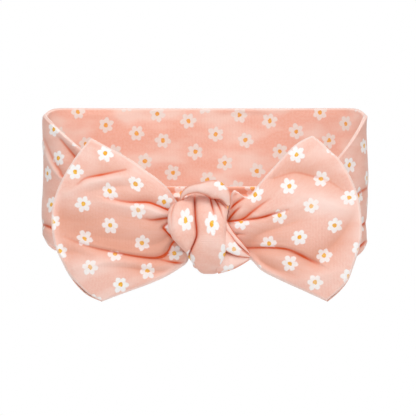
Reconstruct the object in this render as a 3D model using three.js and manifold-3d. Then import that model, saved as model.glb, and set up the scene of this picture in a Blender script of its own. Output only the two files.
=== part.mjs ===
// A knotted jersey headband. Two panels of stretch jersey are sewn edge to edge, turned right side out
// into a flat double-layer tube, closed round the head, and tied at the front in one overhand knot.
// The two ends of the tube leave the knot as a pair of wide bow tails.
//
// Millimetres, +Z up, +X to the wearer's left, front of the head at -Y. The origin is the middle of the
// head opening at half the height of the band's back. The cloth is one continuous tube: it is divided
// here where it starts to stretch and where it bends, so neighbours of one cloth stand `clearance` apart.

import * as THREE from "three";
import { mergeVertices } from "three/addons/utils/BufferGeometryUtils.js";
import Module from "manifold-3d";

const wasm = await Module();
wasm.setup();

// ---- driving dimensions ----

const cloth = { panel: 0.6, loft: 1.1, thread: 0.5 }; // one layer, the air between two layers, seam thread
const clearance = 0.3; // between two pieces that touch on the real object
const loop = { halfWidth: 84, halfDepth: 36, squareness: 2.4 }; // plan of the tube's middle surface
const band = {
  backTop: 37.7, // the band's edges at the back of the head
  backBottom: -37.7,
  frontTop: -3.7, // and where they run in behind the knot
  frontBottom: -39,
  level: 22, // half the width over which the front edges stay level
  backCorner: 12, // how late the back's straight edges turn in to the sides
  left: { sideTop: 34, sideBottom: -30, rise: 1.7, round: 7 }, // how steeply each side climbs to the back
  right: { sideTop: 34, sideBottom: -33, rise: 3.3, round: 7 },
};
const stretchStart = 50; // degrees round the plan from the knot at which the cloth starts to stretch
const stretchEnd = 130;
const seamInset = 1.2; // from the band's edge to its seam thread
const knot = {
  standOff: 6, // from the loop's front to the middle of the ring that the wrapping strand makes
  heightAt: -28, // z of the ring's middle
  outerDepth: 15,
  outerHeight: 21,
  strand: 5.2, // thickness of the wrapping strand
  backHalfWidth: 8.5,
  coreHalfWidth: 6.5,
};
const wrapEnd = 112; // degrees from the front at which the wrap passes into the back strand
const tail = {
  standOff: 7.5, // from the loop's front to the surface midway between a tail's two panels
  curl: 4, // how far its outer edge lies back from there
  rootDepth: 4.6, // half the thickness of the gathered root
  rootShare: 0.7, // height of the root inside the knot, as a share of the ring's hollow
  frontBulge: 4.4, // how far each panel stands off the middle surface, past the loft
  backBulge: 2,
  hingeGap: 1.2, // each side of the bend line, so that the root and the tail clear each other
  seamInset: 0.018, // share of the tail between its edge and the seam thread
};

const ringY = -loop.halfDepth - knot.standOff;
const tailY = -loop.halfDepth - tail.standOff;
const hollow = { halfHeight: knot.outerHeight - knot.strand, halfDepth: knot.outerDepth - knot.strand };

// The outline of each tail in the front view, as [x, z] points. The root is gathered inside the knot,
// passes the shoulder where it leaves the knot, and ends at the bend line, where the tail begins.
const shoulderTop = knot.heightAt + hollow.halfHeight - 4 * clearance;
const rootX = knot.coreHalfWidth + 3.8;
const rootHalf = tail.rootShare * hollow.halfHeight;
const rootEnds = (x, middle) => ({ top: [x, middle + rootHalf], bottom: [x, middle - rootHalf] });
const leftTail = {
  name: "left",
  side: -1,
  bendX: -20.5,
  root: rootEnds(-rootX, knot.heightAt + 1),
  shoulder: { top: [-15, shoulderTop], bottom: [-13, -42] },
  bend: { top: -3.6, bottom: -50.2 },
  top: [[-30, 4], [-44, 13.2], [-59, 21.3]],
  outer: [[-59, 21.3], [-70.5, 6.5], [-78.2, -10], [-79, -28], [-71, -48], [-53, -63]],
  bottom: [[-40, -58.2], [-53, -63]],
};
const rightTail = {
  name: "right",
  side: 1,
  bendX: 24.8,
  root: rootEnds(rootX, knot.heightAt + 2),
  shoulder: { top: [15, -9.5], bottom: [16, -38.5] },
  bend: { top: -6.2, bottom: -42.4 },
  top: [[35, 5.6], [45, 16.2], [55.5, 22.5]],
  outer: [[55.5, 22.5], [70, 10], [79.5, -11], [80.3, -34], [74, -52], [63, -62.8]],
  bottom: [[40, -52.4], [63, -62.8]],
};

const jersey = new THREE.MeshStandardMaterial({ color: 0xf4bcac, roughness: 0.9, metalness: 0 });
const lining = new THREE.MeshStandardMaterial({ color: 0xf0ad9b, roughness: 0.9, metalness: 0 });
const thread = new THREE.MeshStandardMaterial({ color: 0xfbe9e3, roughness: 0.8, metalness: 0 });

const headband = new THREE.Group();

// ---- helpers ----

function add(name, geometry, material) {
  const mesh = new THREE.Mesh(geometry, material);
  mesh.name = name;
  headband.add(mesh);
}

function signedVolume(geometry) {
  const position = geometry.getAttribute("position");
  const index = geometry.getIndex();
  const [a, b, c] = [new THREE.Vector3(), new THREE.Vector3(), new THREE.Vector3()];
  let sum = 0;
  for (let i = 0; i < index.count; i += 3) {
    a.fromBufferAttribute(position, index.getX(i));
    b.fromBufferAttribute(position, index.getX(i + 1));
    c.fromBufferAttribute(position, index.getX(i + 2));
    sum += a.dot(b.cross(c)) / 6;
  }
  return sum;
}

// Moves every vertex of a closed geometry to the place that `place` gives for it, faces pointing out.
function reshape(geometry, place) {
  const position = geometry.getAttribute("position");
  for (let i = 0; i < position.count; i++) {
    position.setXYZ(i, ...place(position.getX(i), position.getY(i), position.getZ(i)));
  }
  if (signedVolume(geometry) < 0) {
    geometry.setIndex(Array.from(geometry.getIndex().array).reverse());
  }
  geometry.computeVertexNormals();
  return geometry;
}

// A closed sheet: u runs along it, v across it and w through its thickness, each from 0 to 1.
function slab(columns, rows, place) {
  const block = new THREE.BoxGeometry(1, 1, 1, columns, rows, 1);
  return reshape(block, (x, y, z) => place(x + 0.5, y + 0.5, z + 0.5));
}

// A closed strand along the line `centre(s)`, s from 0 to 1, with the half thickness `radius(s)`.
function strand(sides, steps, centre, radius) {
  const up = new THREE.Vector3();
  const side = new THREE.Vector3();
  const along = new THREE.Vector3();
  const step = 1e-3;
  return reshape(new THREE.CylinderGeometry(1, 1, 1, sides, steps), (x, y, z) => {
    const s = y + 0.5;
    along.subVectors(centre(Math.min(1, s + step)), centre(Math.max(0, s - step))).normalize();
    side.set(-along.z, 0, along.x).normalize();
    up.crossVectors(along, side);
    const point = centre(s).clone().addScaledVector(up, x * radius(s));
    return point.addScaledVector(side, z * radius(s)).toArray();
  });
}

function toSolid(geometry) {
  const bare = new THREE.BufferGeometry();
  bare.setAttribute("position", geometry.getAttribute("position").clone());
  bare.setIndex(geometry.getIndex().clone());
  const merged = mergeVertices(bare, 1e-3);
  const mesh = new wasm.Mesh({
    numProp: 3,
    vertProperties: merged.getAttribute("position").array,
    triVerts: new Uint32Array(merged.getIndex().array),
  });
  return new wasm.Manifold(mesh);
}

function toGeometry(solid) {
  const mesh = solid.getMesh();
  const points = new Float32Array(mesh.numVert * 3);
  for (let i = 0; i < mesh.numVert; i++) {
    points.set(mesh.vertProperties.subarray(i * mesh.numProp, i * mesh.numProp + 3), i * 3);
  }
  const geometry = new THREE.BufferGeometry();
  geometry.setAttribute("position", new THREE.BufferAttribute(points, 3));
  geometry.setIndex(new THREE.BufferAttribute(mesh.triVerts, 1));
  geometry.computeVertexNormals();
  return geometry;
}

function cut(geometry, tool) {
  const left = toSolid(geometry).subtract(toSolid(tool));
  const largestFirst = left.decompose().sort((a, b) => b.volume() - a.volume());
  return toGeometry(largestFirst[0]); // slivers that a cut leaves behind are dropped
}

const radians = THREE.MathUtils.degToRad;
const degrees = THREE.MathUtils.radToDeg;
const mix = THREE.MathUtils.lerp;
const signedPower = (value, power) => Math.sign(value) * Math.abs(value) ** power;

// A smooth curve in the front view through [x, z] points.
function outline(points) {
  const places = points.map(([x, z]) => new THREE.Vector3(x, 0, z));
  return new THREE.CatmullRomCurve3(places, false, "centripetal");
}

// A value that runs smoothly through [angle, value] pairs.
function track(pairs) {
  return (angle) => {
    const last = pairs.length - 1;
    const within = THREE.MathUtils.clamp(angle, pairs[0][0], pairs[last][0]);
    const next = Math.max(1, pairs.findIndex(([at]) => at >= within));
    const [from, to] = [pairs[next - 1], pairs[next]];
    return mix(from[1], to[1], THREE.MathUtils.smoothstep(within, from[0], to[0]));
  };
}

// ---- the band ----

// A point of the loop's plan, and the way out of the loop there, at an angle from the knot.
function plan(angle) {
  const t = radians(angle);
  const x = loop.halfWidth * signedPower(Math.sin(t), 2 / loop.squareness);
  const y = -loop.halfDepth * signedPower(Math.cos(t), 2 / loop.squareness);
  const out = new THREE.Vector2(
    signedPower(x / loop.halfWidth, loop.squareness - 1) / loop.halfWidth,
    signedPower(y / loop.halfDepth, loop.squareness - 1) / loop.halfDepth,
  ).normalize();
  return { x, y, out };
}

// Heights of the band's two edges. In front they climb from the knot to the sides, and behind they
// are straight until they turn in to the sides.
function bandEdges(angle) {
  const { x, y } = plan(angle);
  const shape = x < 0 ? band.left : band.right;
  const share = Math.max(0, (Math.abs(x) - band.level) / (loop.halfWidth - band.level));
  if (y < 0) {
    return {
      top: mix(band.frontTop, shape.sideTop, share ** shape.rise),
      bottom: mix(band.frontBottom, shape.sideBottom, share ** shape.round),
    };
  }
  return {
    top: mix(band.backTop, shape.sideTop, share ** band.backCorner),
    bottom: mix(band.backBottom, shape.sideBottom, share ** band.backCorner),
  };
}

function bandPoint(angle, share, offset) {
  const { x, y, out } = plan(angle);
  const { top, bottom } = bandEdges(angle);
  return [x + out.x * offset, y + out.y * offset, mix(bottom, top, share)];
}

const neckX = knot.backHalfWidth + 2 * clearance; // where the gathered band runs in behind the knot
const neckAngle = degrees(Math.asin((neckX / loop.halfWidth) ** (loop.squareness / 2)));
const halfGap = degrees(clearance / (2 * loop.halfDepth)); // half the clearance, as an angle
const outerOffset = cloth.loft / 2;
const liningOffset = -cloth.loft / 2 - cloth.panel;
const bandRows = 4;

function bandPanel(from, to, columns, offset) {
  return slab(columns, bandRows, (u, v, w) => bandPoint(mix(from, to, u), v, offset + w * cloth.panel));
}

function addBand() {
  const sections = [
    ["right_neck", neckAngle, stretchStart - halfGap, 8],
    ["right_side", stretchStart + halfGap, stretchEnd - halfGap, 14],
    ["back", stretchEnd + halfGap, 360 - stretchEnd - halfGap, 18],
    ["left_side", 360 - stretchEnd + halfGap, 360 - stretchStart - halfGap, 14],
    ["left_neck", 360 - stretchStart + halfGap, 360 - neckAngle, 8],
  ];
  for (const [name, from, to, columns] of sections) {
    add(name + "_outer_panel", bandPanel(from, to, columns, outerOffset), jersey);
    add(name + "_lining_panel", bandPanel(from, to, columns, liningOffset), lining);
  }
}

// The thread of the seam that joins the outer panel to the lining along one edge.
function bandSeam(isTop) {
  const line = (s) => {
    const angle = mix(neckAngle, 360 - neckAngle, s);
    const { top, bottom } = bandEdges(angle);
    const inset = seamInset / (top - bottom);
    return new THREE.Vector3(...bandPoint(angle, isTop ? 1 - inset : inset, 0));
  };
  return strand(4, 64, line, () => cloth.thread / 2);
}

// ---- the knot ----

// Left and right edge of the wrapping strand, by the angle up from its front.
const wrapLeft = track([[-wrapEnd, -7], [-72, -5], [-48, -8], [-31, -11], [-8, -17.2], [20, -19.2],
  [46, -18], [66, -9.5], [wrapEnd, -knot.backHalfWidth]]);
const wrapRight = track([[-wrapEnd, 8], [-72, 9.5], [-48, 10.5], [-20, 11.5], [46, 12],
  [66, 9.5], [wrapEnd, knot.backHalfWidth]]);

// A point of the ring round the knot's core, at `depth` below its outer surface.
function ringPoint(angle, x, depth) {
  const t = radians(angle);
  const y = ringY - (knot.outerDepth - depth) * Math.cos(t);
  const z = knot.heightAt + (knot.outerHeight - depth) * Math.sin(t);
  return [x, y, z];
}

// How far a strand's outer surface falls off at v, 0 to 1 across it, as a share of its thickness.
const rounding = (v) => 0.6 * Math.abs(2 * v - 1) ** 3;

function wrap(grow = 0) {
  return slab(20, 8, (u, v, w) => {
    const angle = mix(-wrapEnd, wrapEnd, u);
    const x = mix(wrapRight(angle) + grow, wrapLeft(angle) - grow, v);
    return ringPoint(angle, x, mix(knot.strand + grow, knot.strand * rounding(v) - grow, w));
  });
}

function backStrand() {
  const gap = degrees(2 * clearance / knot.outerDepth);
  return slab(8, 6, (u, v, w) => {
    const angle = mix(wrapEnd + gap, 360 - wrapEnd - gap, u);
    const x = mix(knot.backHalfWidth, -knot.backHalfWidth, v);
    return ringPoint(angle, x, mix(knot.strand, knot.strand * rounding(v), w));
  });
}

// The strand that lies over the top of the wrap and tucks in behind its right edge.
function collar() {
  const route = [ // x, angle round the ring, height above its outer surface
    [-12.6, 59.5, 0.8],
    [-9.4, 62.5, 3.2],
    [-4, 64.5, 4.6],
    [2, 64, 5],
    [7.2, 60, 4.7],
    [10.6, 52.5, 3.2],
    [12.4, 46.4, -0.5],
  ];
  const places = route.map(([x, angle, height]) => new THREE.Vector3(...ringPoint(angle, x, -height)));
  const line = new THREE.CatmullRomCurve3(places);
  const radius = (s) => 0.8 + 2.9 * Math.sin(Math.PI * mix(0.08, 0.95, s)) ** 0.8;
  return cut(strand(10, 14, (s) => line.getPoint(s), radius), wrap(clearance));
}

// The gathered cloth that comes out from under the wrap at the lower right, in front of the right root.
function underStrand() {
  const near = { x: 9.2, bottom: ringPoint(-67.5, 0, 0)[2], top: ringPoint(16.5, 0, 0)[2] };
  const far = { x: 22.8, bottom: -42.2, top: -39 };
  const back = tailY - tail.rootDepth - 2 * clearance;
  const plain = slab(8, 6, (u, v, w) => {
    const z = mix(mix(near.bottom, near.top, v), mix(far.bottom, far.top, v), u);
    const crown = 0.8 + 4 * Math.sin(Math.PI * mix(0.1, 0.9, v)) * (1 - 0.7 * u);
    return [mix(near.x, far.x, u), back - w * crown, z];
  });
  return cut(plain, wrap(clearance));
}

// The crossing of the two ends, inside the ring.
function core() {
  return reshape(new THREE.SphereGeometry(1, 12, 8), (x, y, z) => [
    knot.coreHalfWidth * signedPower(x, 0.7),
    ringY + (hollow.halfDepth - 2 * clearance) * y,
    knot.heightAt + (hollow.halfHeight - 2 * clearance) * z,
  ]);
}

// ---- the tails ----

// The gathered root of a tail, a closed oval strand from inside the knot to the bend line.
function tailRoot(shape) {
  const endX = shape.bendX - shape.side * tail.hingeGap;
  const top = outline([shape.root.top, shape.shoulder.top, [endX, shape.bend.top]]);
  const bottom = outline([shape.root.bottom, shape.shoulder.bottom, [endX, shape.bend.bottom]]);
  return reshape(new THREE.CylinderGeometry(1, 1, 1, 12, 6), (x, y, z) => {
    const s = 0.5 + y;
    const [upper, lower] = [top.getPoint(s), bottom.getPoint(s)];
    const point = lower.lerp(upper, 0.5 + 0.5 * x);
    return [point.x, tailY + tail.rootDepth * z, point.z];
  });
}

// Front view of a tail as a patch between its four edges: u out from the bend line, v up.
function tailPatch(shape) {
  const startX = shape.bendX + shape.side * tail.hingeGap;
  const top = outline([[startX, shape.bend.top], ...shape.top]);
  const bottom = outline([[startX, shape.bend.bottom], ...shape.bottom]);
  const outer = outline(shape.outer);
  return (u, v) => {
    const [lower, upper, far] = [bottom.getPointAt(u), top.getPointAt(u), outer.getPointAt(1 - v)];
    const near = bottom.getPoint(0).lerp(top.getPoint(0), v);
    const lowCorners = bottom.getPoint(0).lerp(bottom.getPoint(1), u);
    const highCorners = top.getPoint(0).lerp(top.getPoint(1), u);
    const corners = lowCorners.lerp(highCorners, v);
    return lower.lerp(upper, v).add(near.lerp(far, u)).sub(corners);
  };
}

// How full a tail is at (u, v): all of the bulge at its root and in its middle, none at its edges.
const fullness = (u, v) => Math.sqrt(Math.max(0, 1 - (2 * v - 1) ** 2)) * (1 - u ** 3);

// The middle surface of a tail curls back to its outer edge, and a little more to its corners.
const tailMiddle = (u, v) => tailY + tail.curl * (u ** 2 + 0.3 * u * (2 * v - 1) ** 4);

function tailPanel(shape, isFront) {
  const patch = tailPatch(shape);
  const way = isFront ? -1 : 1;
  const bulge = isFront ? tail.frontBulge : tail.backBulge;
  return slab(12, 10, (u, v, w) => {
    const { x, z } = patch(u, v);
    const offset = cloth.loft / 2 + bulge * fullness(u, v) + w * cloth.panel;
    return [x, tailMiddle(u, v) + way * offset, z];
  });
}

// The thread of the seam round a tail's three free edges, between its panels.
function tailSeam(shape) {
  const patch = tailPatch(shape);
  const inset = tail.seamInset;
  const along = (u, v) => {
    const { x, z } = patch(u, v);
    return new THREE.Vector3(x, tailMiddle(u, v), z);
  };
  const points = [];
  const steps = 8;
  for (let i = 0; i < steps; i++) points.push(along(mix(inset, 1 - inset, i / steps), 1 - inset));
  for (let i = 0; i < steps; i++) points.push(along(1 - inset, mix(1 - inset, inset, i / steps)));
  for (let i = 0; i <= steps; i++) points.push(along(mix(1 - inset, inset, i / steps), inset));
  const line = new THREE.CatmullRomCurve3(points, false, "centripetal");
  return strand(4, 3 * steps * 2, (s) => line.getPoint(s), () => cloth.thread / 2);
}

function addTail(shape) {
  add(shape.name + "_tail_root", tailRoot(shape), jersey);
  add(shape.name + "_tail_front_panel", tailPanel(shape, true), jersey);
  add(shape.name + "_tail_back_panel", tailPanel(shape, false), lining);
  add(shape.name + "_tail_seam_thread", tailSeam(shape), thread);
}

addBand();
add("top_seam_thread", bandSeam(true), thread);
add("bottom_seam_thread", bandSeam(false), thread);
add("knot_core", core(), jersey);
add("knot_wrap", wrap(), jersey);
add("knot_back_strand", backStrand(), jersey);
add("knot_collar", collar(), jersey);
add("knot_under_strand", underStrand(), jersey);
addTail(leftTail);
addTail(rightTail);

export default headband;
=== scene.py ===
import math

import bpy
import numpy as np
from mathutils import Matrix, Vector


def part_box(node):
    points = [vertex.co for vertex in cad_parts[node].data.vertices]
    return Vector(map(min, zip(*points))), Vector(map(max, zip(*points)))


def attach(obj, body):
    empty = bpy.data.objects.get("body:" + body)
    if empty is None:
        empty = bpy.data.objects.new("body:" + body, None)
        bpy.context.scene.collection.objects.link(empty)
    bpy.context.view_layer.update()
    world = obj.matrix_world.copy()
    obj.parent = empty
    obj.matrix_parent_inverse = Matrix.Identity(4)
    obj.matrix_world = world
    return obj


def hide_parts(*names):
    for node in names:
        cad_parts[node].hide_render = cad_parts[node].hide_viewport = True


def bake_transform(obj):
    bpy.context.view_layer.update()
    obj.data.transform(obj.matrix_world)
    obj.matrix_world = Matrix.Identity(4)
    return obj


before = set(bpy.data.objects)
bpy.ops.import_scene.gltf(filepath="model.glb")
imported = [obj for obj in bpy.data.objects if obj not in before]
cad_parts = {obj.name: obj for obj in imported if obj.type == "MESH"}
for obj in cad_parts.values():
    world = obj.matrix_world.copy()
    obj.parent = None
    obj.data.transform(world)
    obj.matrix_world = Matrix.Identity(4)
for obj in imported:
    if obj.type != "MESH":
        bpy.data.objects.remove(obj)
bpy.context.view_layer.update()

mm = 0.001

# What the whole headband shares, in millimetres unless a name says otherwise.
cloth = {
    "panel": 0.55,  # one layer of jersey
    "loft": 0.55,  # half the air between the two layers
    "seamRadius": 0.95,  # how round the turned edge is
    "loopHalfWidth": 84.0,
    "loopHalfDepth": 36.0,
    "squareness": 2.4,
    "daisy": 4.35,  # centre of a printed daisy to its petal tips
    "rowStep": 17.0,  # from daisy to daisy along a row of the print
    "rowWay": -17.0,  # which way a row runs, in degrees
    "nextStep": 15.0,  # from a row to the next one
    "nextWay": 222.0,
    "drift": 1.2,  # how far a daisy may stray from its place
    "apart": 100.0,  # spacing of the daisies in the print map
}
ringY = -cloth["loopHalfDepth"] - 6.0  # middle of the ring that the wrapping strand makes
ringZ = -28.0
tailY = -cloth["loopHalfDepth"] - 7.5  # between a tail's two panels, at the knot


# ---- camera, light and floor ----

def makeCamera():
    settings = {"distance": 4.0, "acrossView": 0.2163, "aimX": 0.00156, "aimZ": -0.0148}
    data = bpy.data.cameras.new("studioCamera")
    data.sensor_width = 36
    data.lens = 36 * settings["distance"] / settings["acrossView"]
    data.clip_end = 20
    camera = bpy.data.objects.new("studioCamera", data)
    bpy.context.scene.collection.objects.link(camera)
    camera.location = (settings["aimX"], -settings["distance"] - 0.03, settings["aimZ"])
    camera.rotation_euler = (math.pi / 2, 0, 0)
    bpy.context.scene.camera = camera


def makeLight(name, place, size, watts, tint=(1, 1, 1)):
    data = bpy.data.lights.new(name, "AREA")
    data.shape = "SQUARE"
    data.size = size
    data.energy = watts
    data.color = tint
    light = bpy.data.objects.new(name, data)
    bpy.context.scene.collection.objects.link(light)
    light.location = place
    aim = -light.location
    light.rotation_euler = aim.to_track_quat("-Z", "Y").to_euler()


def makeStudio():
    settings = {"floorHeight": -0.26, "floorHalf": 2.2, "skySeen": 1.0, "skyLight": 0.37}
    half, height = settings["floorHalf"], settings["floorHeight"]
    mesh = bpy.data.meshes.new("studioFloor")
    corners = [(-half, -half, height), (half, -half, height), (half, half, height), (-half, half, height)]
    mesh.from_pydata(corners, [], [(0, 1, 2, 3)])
    floor = bpy.data.objects.new("studioFloor", mesh)
    bpy.context.scene.collection.objects.link(floor)
    pale = bpy.data.materials.new("paleFloor")
    pale.use_nodes = True
    pale.node_tree.nodes["Principled BSDF"].inputs["Base Color"].default_value = (0.86, 0.86, 0.86, 1)
    pale.node_tree.nodes["Principled BSDF"].inputs["Roughness"].default_value = 0.9
    mesh.materials.append(pale)

    world = bpy.data.worlds.new("studioSky")
    world.use_nodes = True
    bpy.context.scene.world = world
    tree = world.node_tree
    background = tree.nodes["Background"]
    background.inputs["Color"].default_value = (1, 1, 1, 1)
    background.inputs["Strength"].default_value = settings["skyLight"]
    seen = tree.nodes.new("ShaderNodeBackground")
    seen.inputs["Strength"].default_value = settings["skySeen"]
    seen.inputs["Color"].default_value = (1, 1, 1, 1)
    path = tree.nodes.new("ShaderNodeLightPath")
    mix = tree.nodes.new("ShaderNodeMixShader")
    tree.links.new(path.outputs["Is Camera Ray"], mix.inputs[0])
    tree.links.new(background.outputs[0], mix.inputs[1])
    tree.links.new(seen.outputs[0], mix.inputs[2])
    tree.links.new(mix.outputs[0], tree.nodes["World Output"].inputs[0])
    bpy.context.scene.view_settings.view_transform = "Standard"

    makeLight("softboxAbove", (-0.1, -0.75, 1.25), 0.8, 11.9)
    makeLight("softboxFront", (-0.6, -1.6, 0.4), 1.1, 5.7)
    makeLight("softboxRight", (1.3, -0.9, 0.2), 1.0, 5.2, (1, 0.93, 0.89))
    makeLight("softboxBehind", (0.2, 1.2, 0.9), 1.2, 8)


# ---- materials ----

def addNode(tree, kind, **values):
    made = tree.nodes.new(kind)
    for name, value in values.items():
        setattr(made, name, value)
    return made


def calc(tree, operation, *inputs):
    # one arithmetic step: each input is a number or another step's output
    step = addNode(tree, "ShaderNodeMath", operation=operation)
    for socket, value in zip(step.inputs, inputs):
        if isinstance(value, (int, float)):
            socket.default_value = value
        else:
            tree.links.new(value, socket)
    return step.outputs[0]


def vectorCalc(tree, operation, *inputs):
    step = addNode(tree, "ShaderNodeVectorMath", operation=operation)
    for socket, value in zip(step.inputs, inputs):
        if isinstance(value, (tuple, list)):
            socket.default_value = value
        else:
            tree.links.new(value, socket)
    return step.outputs[0]


def fade(tree, value, start, end):
    # 0 at start, 1 at end, eased between them; start may be the larger
    step = addNode(tree, "ShaderNodeMapRange", interpolation_type="SMOOTHSTEP")
    step.inputs["From Min"].default_value = start
    step.inputs["From Max"].default_value = end
    tree.links.new(value, step.inputs["Value"])
    return step.outputs[0]


def mixColour(tree, amount, first, second):
    step = addNode(tree, "ShaderNodeMix", data_type="RGBA")
    for socket, value in ((step.inputs[0], amount), (step.inputs[6], first), (step.inputs[7], second)):
        if isinstance(value, (tuple, int, float)):
            socket.default_value = value
        else:
            tree.links.new(value, socket)
    return step.outputs[2]


def daisyPrint(tree, place):
    # White six-petalled daisies with golden middles. `place` is measured from the middle of the nearest
    # daisy, plus that daisy's own number times the apart distance, so the two are told apart by rounding.
    # Returns the share of white ink and the share of golden ink.
    apart = cloth["apart"]
    cell = vectorCalc(tree, "FLOOR", vectorCalc(tree, "MULTIPLY_ADD", place, (1 / apart, 1 / apart, 0),
                                               (0.5, 0.5, 0)))
    cellParts = addNode(tree, "ShaderNodeSeparateXYZ")
    tree.links.new(cell, cellParts.inputs[0])
    cellI, cellJ = cellParts.outputs[0], cellParts.outputs[1]
    chance = addNode(tree, "ShaderNodeTexWhiteNoise", noise_dimensions="2D")
    tree.links.new(cell, chance.inputs["Vector"])
    luck = addNode(tree, "ShaderNodeSeparateXYZ")
    tree.links.new(chance.outputs["Color"], luck.inputs[0])
    offset = addNode(tree, "ShaderNodeSeparateXYZ")
    tree.links.new(vectorCalc(tree, "MULTIPLY_ADD", cell, (-apart, -apart, 0), place), offset.inputs[0])
    away = calc(tree, "SQRT", calc(tree, "ADD", calc(tree, "POWER", offset.outputs[0], 2),
                                   calc(tree, "POWER", offset.outputs[1], 2)))
    turn = calc(tree, "MULTIPLY_ADD", luck.outputs[2], 2 * math.pi, calc(
        tree, "ARCTAN2", offset.outputs[1], offset.outputs[0]))
    sector = math.pi / 3
    petal = calc(tree, "ROUND", calc(tree, "DIVIDE", turn, sector))
    within = calc(tree, "MULTIPLY_ADD", petal, -sector, turn)
    which = addNode(tree, "ShaderNodeCombineXYZ")
    tree.links.new(calc(tree, "ADD", cellI, calc(tree, "MULTIPLY", calc(
        tree, "FLOORED_MODULO", petal, 6), 0.137)), which.inputs[0])
    tree.links.new(cellJ, which.inputs[1])
    petalChance = addNode(tree, "ShaderNodeTexWhiteNoise", noise_dimensions="2D")
    tree.links.new(which.outputs[0], petalChance.inputs["Vector"])
    grown = calc(tree, "MULTIPLY_ADD", petalChance.outputs["Value"], 0.26, 0.85)
    reach = cloth["daisy"]
    along = calc(tree, "SUBTRACT", calc(tree, "MULTIPLY", away, calc(tree, "COSINE", within)),
                 calc(tree, "MULTIPLY", grown, 0.60 * reach))
    across = calc(tree, "MULTIPLY", away, calc(tree, "SINE", within))
    oval = calc(tree, "SQRT", calc(tree, "ADD",
                                   calc(tree, "POWER", calc(tree, "DIVIDE", along, 0.40 * reach), 2),
                                   calc(tree, "POWER", calc(tree, "DIVIDE", across, 0.33 * reach), 2)))
    petals = fade(tree, oval, 1.14, 0.8)
    middle = fade(tree, away, 0.54 * reach, 0.44 * reach)
    white = calc(tree, "MAXIMUM", petals, middle)
    gold = fade(tree, calc(tree, "MULTIPLY", away, calc(
        tree, "MULTIPLY_ADD", petalChance.outputs["Value"], 0.3, 0.85)), 0.29 * reach, 0.235 * reach)
    return white, gold


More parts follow.
